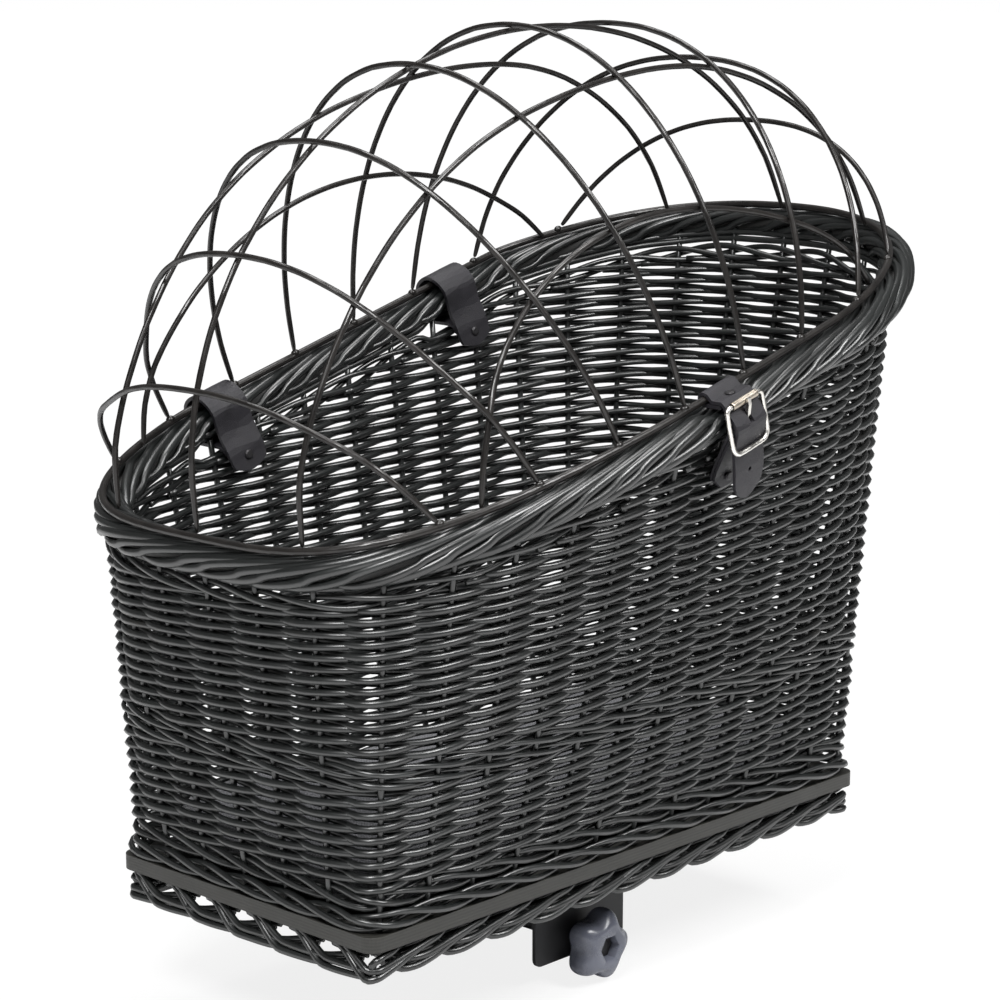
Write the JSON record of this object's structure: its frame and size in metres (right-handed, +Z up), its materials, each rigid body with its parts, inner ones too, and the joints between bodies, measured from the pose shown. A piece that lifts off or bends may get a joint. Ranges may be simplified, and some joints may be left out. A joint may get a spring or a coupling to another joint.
{
  "type": "bicycle pet basket",
  "caption": "Woven willow dog basket for a bicycle's rear carrier, with a slanted rim, a hinged wire dome lid, a strap and buckle closure and a clamp under the board.",
  "frame": {"origin": "middle of the clamp rail's underside, the face that rests on the bicycle's carrier", "axes": "+X towards the high end of the rim, -Y towards the side with the closure strap, +Z up"},
  "size_m": [0.5305, 0.35, 0.56],
  "materials": {
    "stained_willow": "black-stained willow rods, semi-gloss",
    "stained_plywood": "dark stained plywood, matte",
    "coated_wire": "black coated wire, satin",
    "dark_leather": "matte",
    "nickel_plate": "bright nickel plate",
    "black_steel": "black powder coat",
    "knob_plastic": "dark blue-grey moulded plastic",
    "cushion_cloth": "woven cotton"
  },
  "bodies": {
    "basket": {"foot_border": "stained_willow", "upsett_wale": "stained_willow", "lower_wall": "stained_willow", "mid_wale": "stained_willow", "upper_wall": "stained_willow", "rim_wale": "stained_willow", "rim_border": "stained_willow", "base_board": "stained_plywood", "cushion": "cushion_cloth", "hinge_strap_1": "dark_leather", "hinge_strap_2": "dark_leather", "chape_strap": "dark_leather", "hinge_rivet_1": "nickel_plate", "hinge_rivet_2": "nickel_plate", "buckle_frame": "nickel_plate", "chape_rivet": "nickel_plate", "chape_washer": "nickel_plate", "rail_screw_1": "nickel_plate", "rail_nut_1": "nickel_plate", "rail_screw_2": "nickel_plate", "rail_nut_2": "nickel_plate", "rail_screw_3": "nickel_plate", "rail_nut_3": "nickel_plate", "rail_screw_4": "nickel_plate", "rail_nut_4": "nickel_plate", "clamp_rail": "black_steel", "far_jaw": "black_steel", "clamp_bolt": "black_steel"},
    "lid": {"lid_ring": "coated_wire", "hoop_across_1": "coated_wire", "hoop_across_2": "coated_wire", "hoop_across_3": "coated_wire", "hoop_across_4": "coated_wire", "hoop_across_5": "coated_wire", "hoop_across_6": "coated_wire", "hoop_across_7": "coated_wire", "hoop_across_8": "coated_wire", "hoop_along_1": "coated_wire", "hoop_along_2": "coated_wire", "hoop_along_3": "coated_wire", "hoop_along_4": "coated_wire", "hoop_along_5": "coated_wire", "billet_strap": "dark_leather", "billet_rivet": "nickel_plate"},
    "roller": {"buckle_roller": "nickel_plate"},
    "prong": {"buckle_prong": "nickel_plate"},
    "sliding_jaw": {"near_jaw": "black_steel"},
    "knob": {"star_knob": "knob_plastic", "knob_nut": "nickel_plate", "knob_washer": "nickel_plate"}
  },
  "joints": [
    {"name": "lid_hinge", "type": "hinge", "parent": "basket", "child": "lid", "pos_m": [0.012, 0.1525, 0.3074], "axis": [-0.962, 0, -0.273], "range_deg": [0, 100]},
    {"name": "roller_spin", "type": "hinge", "parent": "basket", "child": "roller", "pos_m": [-0.00017, -0.17865, 0.30083], "axis": [0.962, 0, 0.273], "continuous": true},
    {"name": "prong_swing", "type": "hinge", "parent": "basket", "child": "prong", "pos_m": [0.00352, -0.17705, 0.28784], "axis": [0.962, 0, 0.273], "range_deg": [0, 8]},
    {"name": "jaw_slide", "type": "slide", "parent": "basket", "child": "sliding_jaw", "axis": [0, 1, 0], "range_m": [-0.0025, 0.01]},
    {"name": "knob_turn", "type": "hinge", "parent": "sliding_jaw", "child": "knob", "pos_m": [0, -0.0637, -0.0375], "axis": [0, 1, 0], "range_deg": [-720, 2880]}
  ],
  "couplings": [
    {"joint": "knob_turn", "follows": "jaw_slide", "rad_per_m": 5026.5}
  ]
}
